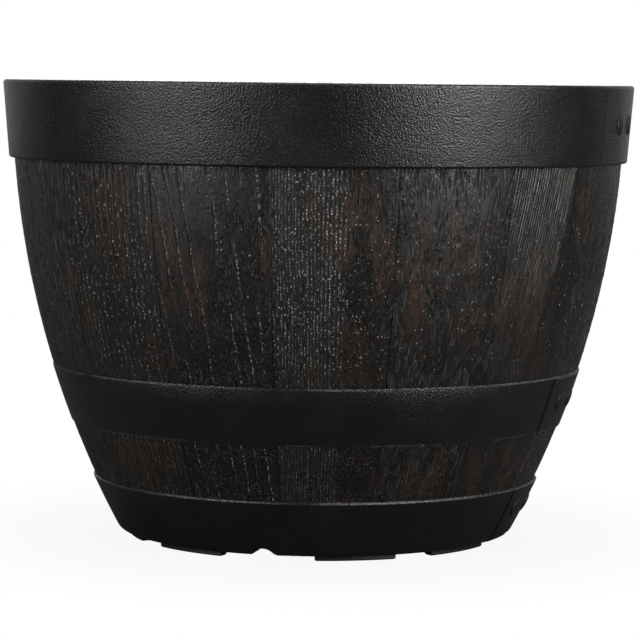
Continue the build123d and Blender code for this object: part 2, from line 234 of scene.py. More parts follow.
class ShapeGraph(Graph):
    """A Geometry Nodes tree with named inputs."""

    def __init__(self, name: str, counts: Sequence[str], numbers: Sequence[str]) -> None:
        """Make the tree and its inputs, the first of which is its material.

        Args:
            name: The tree's name.
            counts: The labels of the inputs that take a whole number.
            numbers: The labels of the inputs that take any number.
        """
        tree = bpy.data.node_groups.new(name, "GeometryNodeTree")
        super().__init__(tree)
        kinds = {"Geometry": "NodeSocketGeometry", "Material": "NodeSocketMaterial"}
        kinds |= dict.fromkeys(counts, "NodeSocketInt") | dict.fromkeys(numbers, "NodeSocketFloat")
        self.identifiers = {
            title: tree.interface.new_socket(title, in_out="INPUT", socket_type=kind).identifier
            for title, kind in kinds.items()
        }
        tree.interface.new_socket("Geometry", in_out="OUTPUT", socket_type="NodeSocketGeometry")
        self.entry = self.node("NodeGroupInput")

    def given(self, name: str) -> Wire:
        """Return one of the tree's named inputs."""
        return self.wire(self.entry, name)

    def store(self, geometry: Wire, name: str, value: Value) -> Wire:
        """Keep a number on each point of a mesh, for its finish to read."""
        inputs = {"Geometry": geometry, "Name": name, "Value": value}
        return self.wire(self.node("GeometryNodeStoreNamedAttribute", inputs=inputs))

    def around(self, radius: Wire, azimuth: Wire, height: Wire) -> Wire:
        """Return the place at a distance from the axis, an azimuth and a height."""
        x, y = radius * self.math("SINE", azimuth), radius * self.math("COSINE", azimuth) * -1.0
        return self.vector(x, y, height)

    def end(self, geometry: Wire) -> None:
        """Close the tree.

        Args:
            geometry: What the tree makes. It is realized and gets the material.
        """
        realized = self.wire(self.node("GeometryNodeRealizeInstances", inputs={0: geometry}))
        inputs = {"Geometry": realized, "Material": self.given("Material")}
        finished = self.node("GeometryNodeSetMaterial", inputs=inputs)
        self.node("NodeGroupOutput", inputs={0: self.wire(finished)})

    def run(self, name: str, values: Settings) -> Object:
        """Evaluate the tree into a plain mesh.

        Args:
            name: The new object's name.
            values: A value for each of the tree's named inputs.

        Returns:
            An object with the mesh and no modifier.
        """
        carrier = bpy.data.objects.new(name + "_carrier", bpy.data.meshes.new(name + "_carrier"))
        bpy.context.scene.collection.objects.link(carrier)
        modifier = carrier.modifiers.new("shape", "NODES")
        modifier.node_group = self.tree
        for title, value in values.items():
            modifier[self.identifiers[title]] = value
        evaluated = carrier.evaluated_get(bpy.context.evaluated_depsgraph_get())
        mesh = bpy.data.meshes.new_from_object(evaluated)
        bpy.data.objects.remove(carrier)
        return add_object(name, mesh)


def add_object(name: str, mesh: Mesh) -> Object:
    """Put a mesh in the scene.

    Args:
        name: The object's and the mesh's name.
        mesh: The mesh, with its place in its points.

    Returns:
        The object, at the origin.
    """
    mesh.name = name
    made = bpy.data.objects.new(name, mesh)
    bpy.context.scene.collection.objects.link(made)
    return made


def place_on_frame(piece: Object, body: str, slot: str, *nodes: str) -> None:
    """Let a piece ride a body and stand for CAD nodes.

    Args:
        piece: The finished piece.
        body: The body that it rides.
        slot: Not used.
        nodes: The CAD nodes that it stands for.
    """
    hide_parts(*nodes)
    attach(piece, body)
    triangles = sum(len(face.vertices) - 2 for face in piece.data.polygons)
    log.info("%s rides %s: %d triangles", piece.name, body, triangles)


def smoothed_copy(node: str, name: str, finish: Material, sharp_angle: float = 35.0) -> Object:
    """Copy a CAD node's mesh, join its loose triangles and shade it smooth between sharp edges.

    Args:
        node: The CAD node.
        name: The copy's name.
        finish: The copy's material.
        sharp_angle: The angle in degrees above which an edge stays sharp.

    Returns:
        The copy.
    """
    shape = bmesh.new()
    shape.from_mesh(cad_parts[node].data)
    bmesh.ops.remove_doubles(shape, verts=shape.verts, dist=SAME_PLACE)
    bmesh.ops.dissolve_degenerate(shape, edges=shape.edges, dist=SAME_PLACE)
    mesh = bpy.data.meshes.new(name)
    shape.to_mesh(mesh)
    shape.free()
    for layer in ("custom_normal", "sharp_face"):
        if layer in mesh.attributes:
            mesh.attributes.remove(mesh.attributes[layer])
    mesh.shade_smooth()
    mesh.set_sharp_from_angle(angle=radians(sharp_angle))
    mesh.materials.append(finish)
    return add_object(name, mesh)


def distance_out(point: Vector) -> float:
    """Give a point's distance from the barrel's axis."""
    return sqrt(point.x**2 + point.y**2)


def move_out(point: Vector, radius: float) -> None:
    """Move a point level, straight to or from the barrel's axis, to a new distance from it."""
    share = radius / distance_out(point)
    point.x, point.y = point.x * share, point.y * share


def label(size: str) -> str:
    """Turn a size's name into the label of a tree's input."""
    return size.replace("_", " ").title()


def labelled(holder: object, *sizes: str) -> dict[str, object]:
    """Read some of a dataclass's sizes, each under the label of a tree's input."""
    return {label(size): getattr(holder, size) for size in sizes}


@dataclass(frozen=True)
class Belly:
    """The wall's curve: one arc, turned about the axis."""

    widest_radius: float = 189.3 * MM
    widest_height: float = 276.2 * MM
    belly_curve: float = 571.7 * MM

    def radius(self, height: float, inset: float = 0.0) -> float:
        """Give the radius at a height, on the surface that lies inset inside the wall's face."""
        drop = sqrt((self.belly_curve - inset) ** 2 - (height - self.widest_height) ** 2)
        return self.widest_radius - self.belly_curve + drop

    def tilt(self, height: float) -> float:
        """Give the angle in radians by which the wall faces down at a height."""
        return asin((self.widest_height - height) / self.belly_curve)


BELLY = Belly()


@dataclass(frozen=True)
class PebbledBlack:
    """Black moulded resin with a fine leathery pebble, pale along some edges: partly scuffed paint, partly
    painted highlight.

    Each pale edge has its height, how far the paleness reaches from it and how strong it is.
    """

    name: str = "pebbled_black"
    base: Colour = (0.0040, 0.0042, 0.0048)
    dusty: Colour = (0.0085, 0.0087, 0.0093)
    # The pale grey of scuffed paint and of painted highlights along some edges.
    worn: Colour = (0.085, 0.085, 0.087)
    sheen_tint: Colour = (0.94, 0.97, 1.0)
    pebble: float = 1.05 * MM
    pebble_softness: float = 0.35
    height: float = 0.42 * MM
    roughness: float = 0.30
    dusty_roughness: float = 0.36
    dust_share: float = 0.3
    dust_waves: float = 35.0
    wear_waves: float = 14.0
    chip_waves: float = 700.0
    # Pale edges by height: the middle hoop's top edge is scuffed paint; its lower edge, the base hoop's
    # ledge and the rim's top edge are painted highlights.
    rubbed: tuple[tuple[float, float, float], ...] = (
        (106.3 * MM, 1.0 * MM, 0.8),
        (72.6 * MM, 0.8 * MM, 0.35),
        (37.3 * MM, 1.3 * MM, 0.6),
        (280.6 * MM, 0.7 * MM, 0.2),
    )

    def build(self) -> Material:
        """Build the material.

        Returns:
            The material.
        """
        g = FinishGraph(self.name)
        inputs = {"Vector": g.place(), "Scale": 1 / self.pebble, "Smoothness": self.pebble_softness}
        pebbles = 1.0 - g.wire(g.node("ShaderNodeTexVoronoi", {"feature": "SMOOTH_F1"}, inputs), "Distance")
        fine = g.noise(g.place(), 1.3 / self.pebble, detail=2.0, rough=0.6)
        dust = g.noise(g.place(), self.dust_waves, detail=3.0)
        base = g.blend(g.smooth(dust, 0.4, 0.75) * self.dust_share, self.base, self.dusty)
        # Pale edges: scuffed paint on the middle hoop's top edge, painted highlights on the other edges.
        base = g.blend(self.wear(g), base, self.worn)
        rough = g.ramp_between(g.smooth(dust, 0.35, 0.7), self.roughness, self.dusty_roughness)
        g.feed({"Base Color": base, "Roughness": rough, "Specular Tint": (*self.sheen_tint, 1.0)})
        g.relief(pebbles * 0.55 + fine * 0.45, self.height)
        return g.material

    def wear(self, g: FinishGraph) -> Wire:
        """Find how pale the edges are, in patches that run along them: scuffed paint on the middle hoop's
        top edge, painted highlights on the others.

        Args:
            g: The material's graph.

        Returns:
            The paleness, from 0 to 1.
        """
        _, _, height = g.parts(g.place())
        patches = g.smooth(g.noise(g.place(), self.wear_waves, detail=2.0), 0.47, 0.6)
        chips = g.smooth(g.noise(g.place(), self.chip_waves, detail=2.0), 0.36, 0.6)
        total: Value = 0.0
        for edge, reach, share in self.rubbed:
            total = g.smooth(abs(height - edge), reach, reach * 0.3) * share + total
        return total * patches * chips


@dataclass(frozen=True)
class PlainResin:
    """Smooth moulded resin, slightly clouded."""

    name: str
    base: Colour
    cloud: Colour
    roughness: float = 0.45
    cloud_waves: float = 22.0
    grain: float = 0.6 * MM
    height: float = 0.03 * MM

    def build(self) -> Material:
        """Build the material.

        Returns:
            The material.
        """
        g = FinishGraph(self.name)
        clouds = g.noise(g.place(), self.cloud_waves, detail=3.0)
        base = g.blend(g.smooth(clouds, 0.35, 0.7), self.base, self.cloud)
        rough = g.ramp_between(clouds, self.roughness - 0.05, self.roughness + 0.1)
        g.feed({"Base Color": base, "Roughness": rough})
        g.relief(g.noise(g.place(), 1 / self.grain, detail=2.0), self.height)
        return g.material


@dataclass(frozen=True)
class Grain:
    """The grain of one kind of stave. Places across are measured from the stave's middle."""

    mesh: tuple[int, int] = (200, 150)
    line_pitch: float = 2.1 * MM
    line_stretch: float = 0.0
    line_wobble: float = 0.8 * MM
    line_fade: float = 0.0
    crest_light: float = 0.07
    line_depth: float = 0.0
    line_centre: float = 0.0
    line_reach: float = 45 * MM
    line_ragged: float = 9 * MM
    line_lean: float = 0.0
    line_low: float = 20 * MM
    bead_height: float = 0.0
    bead_length: float = 9 * MM
    bead_width: float = 0.35 * MM
    bead_fill: float = 1.3
    bead_scatter: float = 0.4 * MM
    bead_share: float = 0.5
    crack_depth: float = 0.0
    crack_pitch: float = 13 * MM
    crack_lean: float = 0.0
    dash_depth: float = 0.0
    dash_width: float = 0.75 * MM
    dash_length: float = 6.5 * MM
    speck_height: float = 0.35 * MM
    speck_pitch: float = 2.1 * MM
    speck_rise: float = 180 * MM
    speck_share: float = 0.0
    clump_width: float = 8 * MM
    clump_length: float = 18 * MM

    @classmethod
    def sizes(cls) -> list[str]:
        """Give the names of the grain's numbers."""
        return [item.name for item in fields(cls) if item.type is float]


class Figure(Enum):
    """The kinds of grain that the staves are moulded with."""

    FINE = Grain(line_pitch=1.9 * MM, line_depth=0.22 * MM, bead_height=0.10 * MM, speck_height=0.15 * MM)
    COLUMNS = Grain(
        mesh=(170, 182), line_pitch=4.6 * MM, line_depth=0.10 * MM, line_wobble=1.6 * MM,
        bead_height=0.35 * MM, bead_length=2.1 * MM, bead_width=0.45 * MM, bead_fill=0.5,
        bead_scatter=2.0 * MM, bead_share=0.52, speck_height=0.3 * MM, speck_rise=210 * MM,
        speck_share=0.06, clump_width=4 * MM,
    )
    CRACKED = Grain(crack_depth=0.45 * MM, crack_pitch=9 * MM, crack_lean=0.11, speck_rise=150 * MM)
    BEADED = Grain(
        mesh=(190, 190), line_pitch=2.5 * MM, line_stretch=5.0, line_wobble=0.9 * MM,
        line_depth=0.26 * MM, line_centre=-15 * MM, line_reach=24 * MM, line_ragged=26 * MM,
        bead_height=0.35 * MM, bead_length=1.75 * MM, bead_width=0.38 * MM, bead_fill=0.6,
        bead_scatter=0.8 * MM, bead_share=0.54, crest_light=0.035, speck_pitch=1.9 * MM,
        speck_rise=235 * MM, speck_share=0.14, clump_width=3.2 * MM, clump_length=13 * MM,
    )
    DASHED = Grain(
        mesh=(190, 190), dash_depth=0.45 * MM, dash_width=0.85 * MM, dash_length=13 * MM,
        speck_height=0.4 * MM, speck_rise=200 * MM,
    )
    COMBED = Grain(
        line_wobble=0.25 * MM, line_fade=0.85, crest_light=0.06, line_depth=0.30 * MM,
        bead_height=0.22 * MM, bead_width=0.36 * MM, bead_scatter=0.1 * MM, bead_share=0.8,
        line_centre=-9 * MM, line_reach=29 * MM, line_lean=0.16, speck_height=0.4 * MM,
        speck_rise=215 * MM,
    )
    SMOOTH = Grain(
        mesh=(170, 182), line_depth=0.14 * MM, line_centre=22 * MM, line_reach=20 * MM,
        bead_height=0.10 * MM, bead_length=8 * MM, bead_fill=1.2, dash_depth=0.12 * MM,
        speck_height=0.3 * MM, speck_rise=170 * MM,
    )


@dataclass
class GrainMath:
    """The grain as expressions on a place of the stave, shared by its shape and its finish.

    The sizes are the grain's numbers by name, and the seed sets staves of one kind apart. Side is the
    place across the stave, at the widest place's scale, and height is the place up it.
    """

    TOP = 234 * MM  # where leaning lines and cracks have no drift
    HIGHEST = 0.55 * MM  # no grain stands out farther than this
    SWELL = 0.35 * MM
    LIP_HEIGHT = 0.2 * MM
    EDGE_HEIGHT = 0.1 * MM
    DULL_HEIGHTS = (95 * MM, 150 * MM)  # beads and flecks grow lower, and their painted glints darker as painted shade, between these heights
    SEED_STEP = 7.31  # how far apart the seeds lie in the noise

    graph: Graph
    sizes: Mapping[str, Value]
    seed: Value
    side: Wire
    height: Wire

    def off(self, *names: str) -> bool:
        """Tell whether this stave has none of what these sizes make."""
        return all(isinstance(self.sizes[name], float) and self.sizes[name] == 0 for name in names)

    def noise(self, across: Value, up: Value, shift: float, detail: float = 1.0) -> Wire:
        """Read noise at a place counted in waves. Each seed and each shift has its own noise."""
        place = self.graph.vector(across, up, self.seed * self.SEED_STEP + shift)
        return self.graph.noise(place, detail=detail)

    def waves(self, width: Value, length: Value, shift: float, detail: float = 1.0) -> Wire:
        """Read noise on the stave's face whose waves have a width and a length."""
        return self.noise(self.side / width, self.height / length, shift, detail)

    def sway(self, width: float, length: float, size: Value, shift: float, detail: float = 1.0) -> Wire:
        """Read such noise around zero, with a size from its lowest to its highest."""
        return (self.waves(width, length, shift, detail) - 0.5) * size

    def dull(self, least: float) -> Wire:
        """Return 1 on the upper wall, falling to the least on the lower wall: painted shade on the glints,
        and lower beads and specks.
        """
        return self.graph.ramp_between(self.graph.smooth(self.height, *self.DULL_HEIGHTS), least, 1.0)

    def lines(self) -> tuple[Value, Value, Value]:
        """Work out the straight grain.

        Returns:
            Its grooves, its crests and the beads along the crests.
        """
        if self.off("line_depth", "bead_height"):
            return 0.0, 0.0, 0.0
        g, size = self.graph, self.sizes
        drift = size["line_lean"] * (self.height - self.TOP)
        sway = self.sway(25 * MM, 70 * MM, 3 * MM, 1.7)
        place = self.side - drift + sway + self.sway(5 * MM, 11 * MM, size["line_wobble"], 2.3)
        place = (place - place * place * size["line_stretch"]) / size["line_pitch"]
        place = place + self.noise(place * 0.31, self.height / (80 * MM), 2.9) * 1.2
        column = g.math("ROUND", place)
        patch = self.noise(column * 0.73, self.height / (10 * MM), 5.3, 2.0)
        window = self.window(drift, patch)
        fade = size["line_fade"] * g.smooth(self.height, 212 * MM, 150 * MM)
        wave = g.math("COSINE", place * (2 * pi)) * 0.5 + 0.5
        groove = g.smooth(wave, 0.38, 0.03) * window * (1.0 - fade * 0.5)
        # The crests are not raised: the finish paints them lighter as a highlight along the ridges.
        crest = g.smooth(wave, 0.55, 0.95) * g.smooth(patch, 0.32, 0.6) * window * (1.0 - fade)
        beads = self.beads(place, column, patch) * window * (1.0 - fade) * self.dull(0.4)
        return groove, crest, beads

    def window(self, drift: Value, patch: Wire) -> Wire:
        """Mark the part of the stave that has straight grain.

        Args:
            drift: How far the leaning grain has moved across.
            patch: Noise that frays the edges.

        Returns:
            1 where the straight grain is and 0 beside and below it.
        """
        g, size = self.graph, self.sizes
        away = abs(self.side - drift - size["line_centre"]) + (patch - 0.5) * size["line_ragged"]
        low = size["line_low"] + (patch - 0.5) * (50 * MM)
        inside = g.smooth(away, size["line_reach"], size["line_reach"] - 3 * MM)
        return inside * g.smooth(self.height, low - 12 * MM, low + 12 * MM)

    def beads(self, place: Wire, column: Wire, patch: Wire) -> Wire:
        """Set beads along the crests: each has its own size, strength and place. The strength sets its
        height and its painted glint.

        Args:
            place: The place across, counted in crests.
            column: The nearest crest's number.
            patch: Noise that thins the beads out.

        Returns:
            How far a bead shows, from 0 to 1.
        """
        g, size = self.graph, self.sizes
        nudge = self.noise(column * 1.3, self.height / (9 * MM), 4.1) * 2.5
        beat = self.height / size["bead_length"] + nudge
        number = g.math("ROUND", beat)
        show, shift, large = g.chances(g.vector(column, number, g.math("ROUND", self.seed * 100.0)))
        across = abs((place - column) * size["line_pitch"] + (shift - 0.5) * size["bead_scatter"])
        width = size["bead_width"] * g.ramp_between(large, 0.65, 1.3)
        half = size["bead_fill"] * 0.5
        ends = g.smooth(abs(beat - number), half + 0.12, half - 0.1)
        share = 1.0 - size["bead_share"]
        kept = g.smooth(patch * 0.6 + show * 0.4, share - 0.05, share + 0.05)
        bright = g.ramp_between(large * large, 0.22, 1.0)
        return g.smooth(across, width, width * 0.3) * ends * kept * bright

    def cracks(self) -> tuple[Value, Value]:
        """Work out the long cracks that lean down the stave.

        Returns:
            The cracks, and the flecks along their lips.
        """
        if self.off("crack_depth"):
            return 0.0, 0.0
        g, size = self.graph, self.sizes
        sway = self.sway(30 * MM, 45 * MM, 8 * MM, 6.2, 3.0)
        place = (self.side + size["crack_lean"] * (self.height - self.TOP) + sway) / size["crack_pitch"]
        number = g.math("ROUND", place)
        away = abs(place - number) * size["crack_pitch"]
        there = g.smooth(self.noise(number * 3.7, self.height / (38 * MM), 7.7, 2.0), 0.42, 0.52)
        width = self.waves(9 * MM, 7 * MM, 8.1, 2.0) * (1.0 * MM)
        lip = g.smooth(abs(place - number - 0.1) * size["crack_pitch"], 0.9 * MM, 0.2 * MM)
        flecks = g.smooth(self.waves(1.6 * MM, 1.5 * MM, 8.8), 0.5, 0.64)
        return g.smooth(away, width, 0.06 * MM) * there, lip * there * flecks

    def dashes(self) -> tuple[Value, Value]:
        """Work out the short upright cuts.

        Returns:
            The cuts, and the raised edges at one side of them, which the finish paints lighter as a
            highlight.
        """
        if self.off("dash_depth"):
            return 0.0, 0.0
        g, size = self.graph, self.sizes
        place = (self.side + self.sway(24 * MM, 34 * MM, 6 * MM, 9.4)) / size["dash_width"] * 0.5
        fleck = self.noise(place, self.height / size["dash_length"], 10.6)
        beside = self.noise(place - 0.32, self.height / size["dash_length"], 10.6)
        there = g.smooth(self.waves(11 * MM, 22 * MM, 11.5, 2.0), 0.36, 0.5)
        edge = g.smooth(beside, 0.58, 0.66) * g.smooth(fleck, 0.6, 0.54)
        return g.smooth(fleck, 0.56, 0.59) * there, edge * there

    def specks(self) -> Wire:
        """Work out the small grains that stand on the face in clumps, thicker lower down.

        Returns:
            How far a grain shows, from 0 to 1.
        """
        g, size = self.graph, self.sizes
        pitch = size["speck_pitch"]
        spot = g.vector(self.side / pitch, self.height / pitch * 0.8, self.seed * 3.1)
        cells = g.node("ShaderNodeTexVoronoi", {"feature": "F1"}, {"Vector": spot, "Scale": 1.0})
        chance, large, _ = g.parts(g.wire(cells, "Color"))
        patch = self.waves(size["clump_width"], size["clump_length"], 13.1, 2.0)
        lower = g.smooth(self.height, size["speck_rise"] + 30 * MM, size["speck_rise"] - 30 * MM)
        kept = g.smooth((patch - 0.5) * 1.8 + lower * 0.22 + chance * 0.5 + size["speck_share"], 0.5, 0.58)
        spread = g.ramp_between(large, 0.13, 0.28)
        # Brightness sets both the speck's height and its painted glint, darker lower down as painted shade.
        bright = g.ramp_between(large * large, 0.2, 1.0) * self.dull(0.35)
        return g.smooth(g.wire(cells, "Distance"), spread, spread * 0.4) * kept * bright

    def relief(self) -> Wire:
        """Work out how far the face stands out.

        Returns:
            The height above the plain face, in metres.
        """
        size = self.sizes
        lines, _, beads = self.lines()
        crack, lip = self.cracks()
        dash, edge = self.dashes()
        out = self.sway(18 * MM, 70 * MM, self.SWELL, 0.4, 2.0)
        out = out - lines * size["line_depth"] + beads * size["bead_height"]
        out = out - crack * size["crack_depth"] + lip * self.LIP_HEIGHT
        out = out - dash * size["dash_depth"] + edge * self.EDGE_HEIGHT
        return self.graph.math("MINIMUM", out + self.specks() * size["speck_height"], self.HIGHEST)


@dataclass(frozen=True)
class GrainedResin:
    """Very dark walnut resin: brown wipes faded in patches, painted shade in the cuts and painted glints on
    the raised grain.
    """

    figure: Figure
    dark: Colour = (0.0052, 0.0045, 0.0040)
    brown: Colour = (0.038, 0.0190, 0.0104)
    # The painted shade in the cuts.
    deep: Colour = (0.0014, 0.0013, 0.0013)
    # The painted glint on beads, crests, crack lips, dash edges and specks.
    tip: Colour = (0.36, 0.335, 0.30)
    full_line: float = 0.26 * MM
    full_bead: float = 0.35 * MM
    wipe_length: float = 80 * MM
    wipe_width: float = 12 * MM
    patch_waves: float = 14.0
    belt_low: tuple[float, float] = (130 * MM, 160 * MM)
    belt_high: tuple[float, float] = (232 * MM, 200 * MM)
    foot: tuple[float, float] = (74 * MM, 66 * MM)
    streak_length: float = 22 * MM
    streak_width: float = 1.4 * MM
    fibre_length: float = 17 * MM
    fibre_width: float = 0.8 * MM
    fibre_waves: float = 45.0
    hide_grain: float = 0.95 * MM
    hide_height: float = 0.27 * MM
    fine_height: float = 0.42 * MM
    gloss_waves: float = 60.0
    smooth_roughness: float = 0.24
    rough_roughness: float = 0.31
    cut_roughness: float = 0.5

    def build(self) -> Material:
        """Build the material.

        Returns:
            The material.
        """
        g = FinishGraph("grained_resin_" + self.figure.name.lower())
        cuts, tips = self.marks(g)
        streak = g.noise(g.stretched(self.streak_length, self.streak_width), detail=2.0)
        base = g.blend(self.wipes(g) * g.smooth(streak, 0.35, 0.6), self.dark, self.brown)
        # Painted shade darkens the cuts; painted glints lighten the beads, crests, crack lips, dash edges
        # and specks.
        base = g.blend(tips, g.blend(cuts * 0.9, base, self.deep), self.tip)
        gloss = g.smooth(g.noise(g.place(), self.gloss_waves, detail=2.0), 0.35, 0.65)
        rough = g.ramp_between(gloss, self.smooth_roughness, self.rough_roughness)
        g.feed({"Base Color": base, "Roughness": rough + cuts * self.cut_roughness})
        hide = g.noise(g.place(), 1 / self.hide_grain, detail=2.5, rough=0.6)
        g.relief(((tips - cuts) * self.fine_height + hide * self.hide_height) / MM, MM)
        return g.material

    def marks(self, g: FinishGraph) -> tuple[Wire, Wire]:
        """Find the grain where it shows between the hoops.

        Args:
            g: The material's graph.

        Returns:
            The cuts, which get painted shade, and the tips, which get painted glints, from 0 to 1.
        """
        _, _, height = g.parts(g.place())
        grain = self.figure.value
        sizes = {name: getattr(grain, name) for name in Grain.sizes()}
        maths = GrainMath(g, sizes, g.attribute("seed"), g.attribute("side"), height)
        lines, crests, beads = maths.lines()
        crack, lip = maths.cracks()
        dash, edge = maths.dashes()
        deep = min(1.0, grain.line_depth / self.full_line)
        beads = beads * min(1.0, grain.bead_height / self.full_bead)
        shown = g.attribute("shown")
        cuts = g.largest(lines * deep, crack, dash, self.fibres(g))
        # The tips get painted glints: beads, crests, crack lips, dash edges and specks.
        tips = g.largest(beads, lip * 0.5, edge * 0.18, crests * deep * grain.crest_light, maths.specks())
        return cuts * shown, tips * shown

    def wipes(self, g: FinishGraph) -> Wire:
        """Find where the brown is, mostly in a belt round the wall and a little at its foot.

        Args:
            g: The material's graph.

        Returns:
            The brown's share, from 0 to 1.
        """
        _, _, height = g.parts(g.place())
        wipes = g.noise(g.stretched(self.wipe_length, self.wipe_width), detail=3.0, rough=0.55)
        wipe = g.smooth(wipes * 0.6 + g.noise(g.place(), self.patch_waves) * 0.4, 0.485, 0.62)
        belt = g.smooth(height, *self.belt_low) * g.smooth(height, *self.belt_high)
        foot = g.smooth(height, *self.foot) * 0.5
        return wipe * g.ramp_between(g.largest(belt, foot), 0.3, 1.0)

    def fibres(self, g: FinishGraph) -> Wire:
        """Find the thin upright cuts that lie in patches over the whole stave.

        Args:
            g: The material's graph.

        Returns:
            The cuts, from 0 to 1.
        """
        thread = g.noise(g.stretched(self.fibre_length, self.fibre_width), detail=2.0, rough=0.55)
        patches = g.smooth(g.noise(g.place(), self.fibre_waves, detail=2.0), 0.36, 0.6)
        return g.smooth(thread, 0.54, 0.62) * g.ramp_between(patches, 0.25, 0.9)


class StaveTree(ShapeGraph):
    """Makes one stave's face: a fine grid bent to the belly, with the relief of its grain."""

    COUNTS = ("Columns", "Rows")
    NUMBERS = (
        *("Seed", "Azimuth", "Arc", "Low", "High", "Widest Radius", "Widest Height", "Belly Curve"),
        *("Joint Width", "Joint Depth", "Hoop Low", "Hoop High", "Hoop Recess", "Relief End"),
    )
    HOOP_EDGE = 1.2 * MM  # the relief fades out over this height where a hoop covers the stave

    def __init__(self) -> None:
        """Build the tree."""
        labels = {name: label(name) for name in Grain.sizes()}
        super().__init__("stave_face", self.COUNTS, (*self.NUMBERS, *labels.values()))
        counts = {"Vertices X": self.given("Columns"), "Vertices Y": self.given("Rows")}
        grid = self.node("GeometryNodeMeshGrid", inputs={"Size X": 1.0, "Size Y": 1.0, **counts})
        across, up, _ = self.parts(self.wire(self.node("GeometryNodeInputPosition")))
        arc, low, high = self.given("Arc"), self.given("Low"), self.given("High")
        height = low + (up + 0.5) * (high - low)
        side = across * arc * self.given("Widest Radius")
        sizes = {name: self.given(title) for name, title in labels.items()}
        relief = GrainMath(self, sizes, self.given("Seed"), side, height).relief()
        edge = (0.5 - abs(across)) * arc * self.radius(height)
        joint = self.smooth(edge, self.given("Joint Width") * 0.5, 0.0)
        covered = self.covered(height)
        shown = (1.0 - covered) * (1.0 - joint)
        out = relief * shown - joint * self.given("Joint Depth") - covered * self.given("Hoop Recess")
        geometry = self.store(self.wire(grid), "side", side)
        geometry = self.store(geometry, "shown", shown)
        geometry = self.store(geometry, "seed", self.given("Seed"))
        place = self.on_belly(across * arc, height, out)
        moved = self.node("GeometryNodeSetPosition", inputs={"Geometry": geometry, "Position": place})
        self.end(self.wire(self.node("GeometryNodeSetShadeSmooth", inputs={0: self.wire(moved)})))

    def radius(self, height: Wire) -> Wire:
        """Return the belly's radius at a height."""
        curve, rise = self.given("Belly Curve"), height - self.given("Widest Height")
        return self.given("Widest Radius") - curve + self.math("SQRT", curve * curve - rise * rise)

    def on_belly(self, turn: Wire, height: Wire, out: Wire) -> Wire:
        """Place a point of the stave.

        Args:
            turn: Its angle from the stave's middle.
            height: Its height before it is moved out.
            out: How far it is moved out, square to the wall.

        Returns:
            The point's position.
        """
        lean = (self.given("Widest Height") - height) / self.given("Belly Curve")
        reach = self.radius(height) + out * self.math("SQRT", 1.0 - lean * lean)
        return self.around(reach, turn + self.given("Azimuth"), height - out * lean)

    def covered(self, height: Wire) -> Wire:
        """Find where a hoop covers the stave.

        Args:
            height: The height.

        Returns:
            1 under a hoop and 0 where the stave shows.
        """
        soft = self.HOOP_EDGE
        low, high, end = self.given("Hoop Low"), self.given("Hoop High"), self.given("Relief End")
        under = self.smooth(height, low, low + soft) * self.smooth(height, high, high - soft)
        return self.largest(under, self.smooth(height, end, end + soft))


@dataclass
class StaveWall:
    """The staves: each a slab with a grained face, lying on the shell."""

    joint_azimuth: float = 14.2
    seed_step: float = 0.37
    low: float = 33 * MM
    high: float = 241 * MM
    relief_end: float = 234.5 * MM
    thickness: float = 2.2 * MM
    joint_width: float = 1.5 * MM
    joint_depth: float = 0.45 * MM
    hoop_low: float = 72 * MM
    hoop_high: float = 107 * MM
    hoop_recess: float = 1.3 * MM
    figures: tuple[Figure, ...] = (
        *(Figure.DASHED, Figure.COMBED, Figure.SMOOTH, Figure.COLUMNS, Figure.CRACKED, Figure.BEADED),
        *(Figure.FINE, Figure.DASHED, Figure.COMBED, Figure.COLUMNS, Figure.CRACKED, Figure.SMOOTH),
        *(Figure.FINE, Figure.COLUMNS, Figure.CRACKED, Figure.BEADED),
    )

    def build(self) -> None:
        """Make every stave, with the finish of its figure."""
        tree = StaveTree()
        finishes = {figure: GrainedResin(figure).build() for figure in Figure}
        step = 360 / len(self.figures)
        wall = {
            "Arc": 2 * pi / len(self.figures),
            **labelled(BELLY, "widest_radius", "widest_height", "belly_curve"),
            **labelled(self, "low", "high", "relief_end", "joint_width", "joint_depth"),
            **labelled(self, "hoop_low", "hoop_high", "hoop_recess"),
        }
        for number, figure in enumerate(self.figures):
            azimuth = radians(self.joint_azimuth + (number + 0.5) * step)
            own = {"Material": finishes[figure], "Azimuth": azimuth, "Seed": 1.0 + number * self.seed_step}
            mesh = dict(zip(StaveTree.COUNTS, figure.value.mesh))
            grain = labelled(figure.value, *Grain.sizes())
            piece = tree.run(f"stave_{number + 1:02d}", {**wall, **own, **mesh, **grain})
            self.close(piece.data)
            place_on_frame(piece, PLANTER, "staves", "barrel_shell")

    def close(self, mesh: Mesh) -> None:
        """Give a stave's face its sides, which reach into the shell.

        Args:
            mesh: The face, which is changed.
        """
        shape = bmesh.new()
        shape.from_mesh(mesh)
        rim = [edge for edge in shape.edges if edge.is_boundary]
        made = bmesh.ops.extrude_edge_only(shape, edges=rim)["geom"]
        for vert in (part for part in made if isinstance(part, bmesh.types.BMVert)):
            move_out(vert.co, BELLY.radius(vert.co.z, self.thickness))
        bmesh.ops.recalc_face_normals(shape, faces=shape.faces)
        shape.to_mesh(mesh)
        shape.free()


@dataclass
class Shell:
    """The moulded shell behind the staves: inner wall, floor, foot ring, feet and ribs."""

    feet: float = 5 * MM
    reach: float = 1.35 * MM
    inset: float = 1.5 * MM

    def build(self, finish: Material) -> None:
        """Copy the shell, with its outer face above the feet drawn in behind the staves.

        Args:
            finish: The inner wall's finish.
        """
        piece = smoothed_copy("barrel_shell", "shell", finish)
        for vert in piece.data.vertices:
            height = vert.co.z
            if distance_out(vert.co) > BELLY.radius(height, self.reach) and height > self.feet:
                move_out(vert.co, BELLY.radius(height, self.inset))
        place_on_frame(piece, PLANTER, "staves", "barrel_shell")


